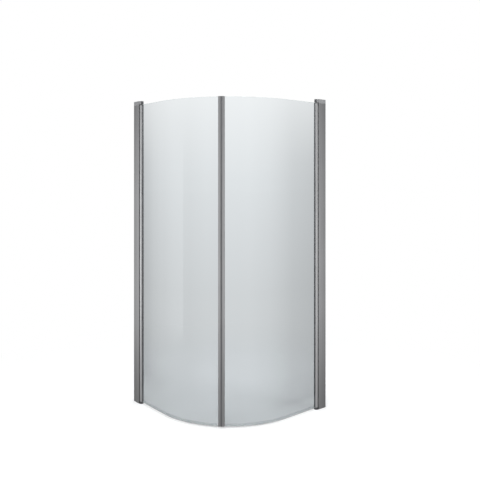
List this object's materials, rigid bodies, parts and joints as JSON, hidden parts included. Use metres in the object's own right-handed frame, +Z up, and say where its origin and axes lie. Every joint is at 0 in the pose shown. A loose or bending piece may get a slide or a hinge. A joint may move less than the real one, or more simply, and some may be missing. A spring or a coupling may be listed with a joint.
{
  "type": "corner shower screen",
  "caption": "Quadrant corner shower screen: curved clear-glass doors hung on slim aluminium wall profiles, swinging outwards and meeting on the diagonal with magnetic seals.",
  "frame": {"origin": "on the floor, at the middle of the square that the screen takes up in plan", "axes": "+Z up; +X towards the wall that carries the right door, +Y towards the wall that carries the left door; the doors bulge towards -X and -Y"},
  "size_m": [0.9, 0.9, 2],
  "materials": {
    "anodised_aluminium": "satin grey anodising with fine lines along the extrusion",
    "light_aluminium": "satin light anodising with fine lines along the extrusion",
    "grey_moulding": "grey moulded plastic with a fine grain",
    "dark_moulding": "dark grey moulded plastic",
    "dark_casting": "dark grey painted casting",
    "stainless_steel": "turned stainless steel",
    "nylon": "natural white nylon",
    "grey_rubber": "matt grey rubber",
    "grey_vinyl": "dark grey vinyl",
    "magnet_rubber": "dark flexible magnet",
    "clear_vinyl": "clear soft vinyl, slightly cloudy",
    "toughened_glass": "clear toughened glass with a faint cool grey tint"
  },
  "bodies": {
    "wall_frame": {"left_wall_channel": "anodised_aluminium", "left_hinge_post": "anodised_aluminium", "left_fixing_screws": "stainless_steel", "left_screw_covers": "grey_moulding", "left_top_cap": "grey_moulding", "left_upper_pivot_arm": "dark_casting", "left_lower_pivot_foot": "dark_casting", "left_pivot_screws": "stainless_steel", "left_upper_pivot_pin": "stainless_steel", "left_lower_pivot_pin": "stainless_steel", "left_hinge_seal": "grey_rubber", "right_wall_channel": "anodised_aluminium", "right_hinge_post": "anodised_aluminium", "right_fixing_screws": "stainless_steel", "right_screw_covers": "grey_moulding", "right_top_cap": "grey_moulding", "right_upper_pivot_arm": "dark_casting", "right_lower_pivot_foot": "dark_casting", "right_pivot_screws": "stainless_steel", "right_upper_pivot_pin": "stainless_steel", "right_lower_pivot_pin": "stainless_steel", "right_hinge_seal": "grey_rubber"},
    "left_door": {"left_hinge_stile": "light_aluminium", "left_upper_stile_plug": "dark_moulding", "left_lower_stile_plug": "dark_moulding", "left_upper_pivot_bush": "nylon", "left_lower_pivot_bush": "nylon", "left_hinge_gasket": "grey_rubber", "left_glass_pane": "toughened_glass", "left_meeting_stile": "anodised_aluminium", "left_meeting_gasket": "grey_rubber", "left_magnet_seal": "grey_vinyl", "left_magnet_strip": "magnet_rubber", "left_meeting_caps": "dark_moulding", "left_bottom_sweep": "clear_vinyl"},
    "right_door": {"right_hinge_stile": "light_aluminium", "right_upper_stile_plug": "dark_moulding", "right_lower_stile_plug": "dark_moulding", "right_upper_pivot_bush": "nylon", "right_lower_pivot_bush": "nylon", "right_hinge_gasket": "grey_rubber", "right_glass_pane": "toughened_glass", "right_meeting_stile": "anodised_aluminium", "right_meeting_gasket": "grey_rubber", "right_magnet_seal": "grey_vinyl", "right_magnet_strip": "magnet_rubber", "right_meeting_caps": "dark_moulding", "right_bottom_sweep": "clear_vinyl"}
  },
  "joints": [
    {"name": "left_door_swing", "type": "hinge", "parent": "wall_frame", "child": "left_door", "pos_m": [-0.432, 0.3805, 0], "axis": [0, 0, -1], "range_deg": [0, 90]},
    {"name": "right_door_swing", "type": "hinge", "parent": "wall_frame", "child": "right_door", "pos_m": [0.3805, -0.432, 0], "axis": [0, 0, 1], "range_deg": [0, 90]}
  ]
}
